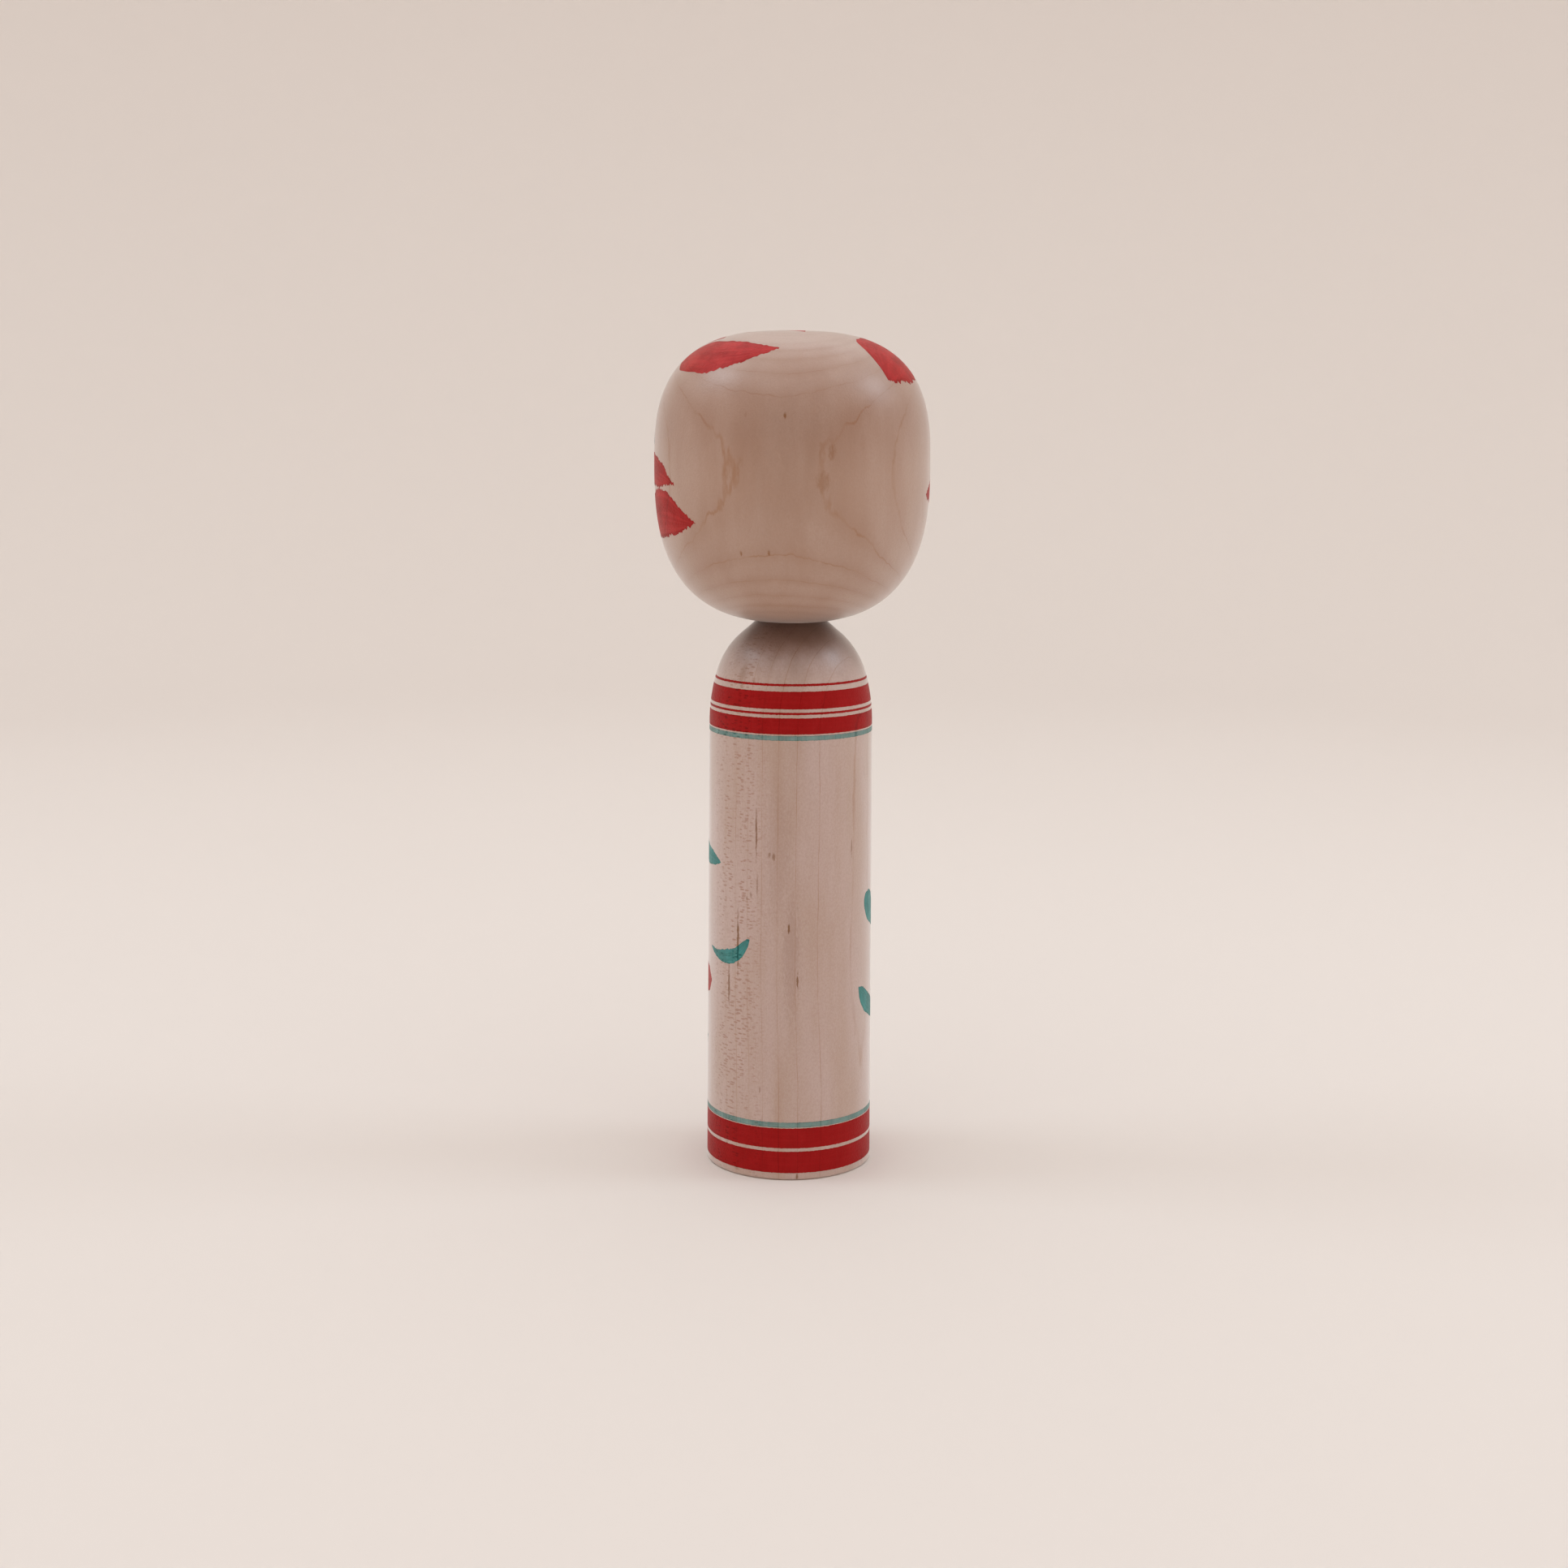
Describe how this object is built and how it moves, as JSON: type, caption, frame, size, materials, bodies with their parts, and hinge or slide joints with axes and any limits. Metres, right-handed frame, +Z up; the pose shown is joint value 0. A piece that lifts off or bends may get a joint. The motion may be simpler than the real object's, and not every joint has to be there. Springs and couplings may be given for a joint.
{
  "type": "kokeshi doll",
  "caption": "Turned wooden doll: a squarish round head on a hidden neck peg, about which it is taken to turn, above a plain, near-cylindrical body with rounded shoulders and a dished foot.",
  "frame": {"origin": "centre of the foot, on the surface that the doll stands on", "axes": "+Z up along the turning axis; the painted face looks along -Y; +X is the doll's left hand side"},
  "size_m": [0.0778, 0.0778, 0.24],
  "materials": {
    "body_wood": "waxed pale close-grained hardwood, painted with dye bands and brush strokes",
    "head_wood": "waxed pale close-grained hardwood, painted with dye brush strokes",
    "peg_wood": "bare turned hardwood dowel"
  },
  "bodies": {
    "torso": {"body": "body_wood", "neck_peg": "peg_wood"},
    "head": {"head": "head_wood"}
  },
  "joints": [
    {"name": "head_turn", "type": "hinge", "parent": "torso", "child": "head", "pos_m": [0, 0, 0.159], "axis": [0, 0, 1], "continuous": true}
  ]
}
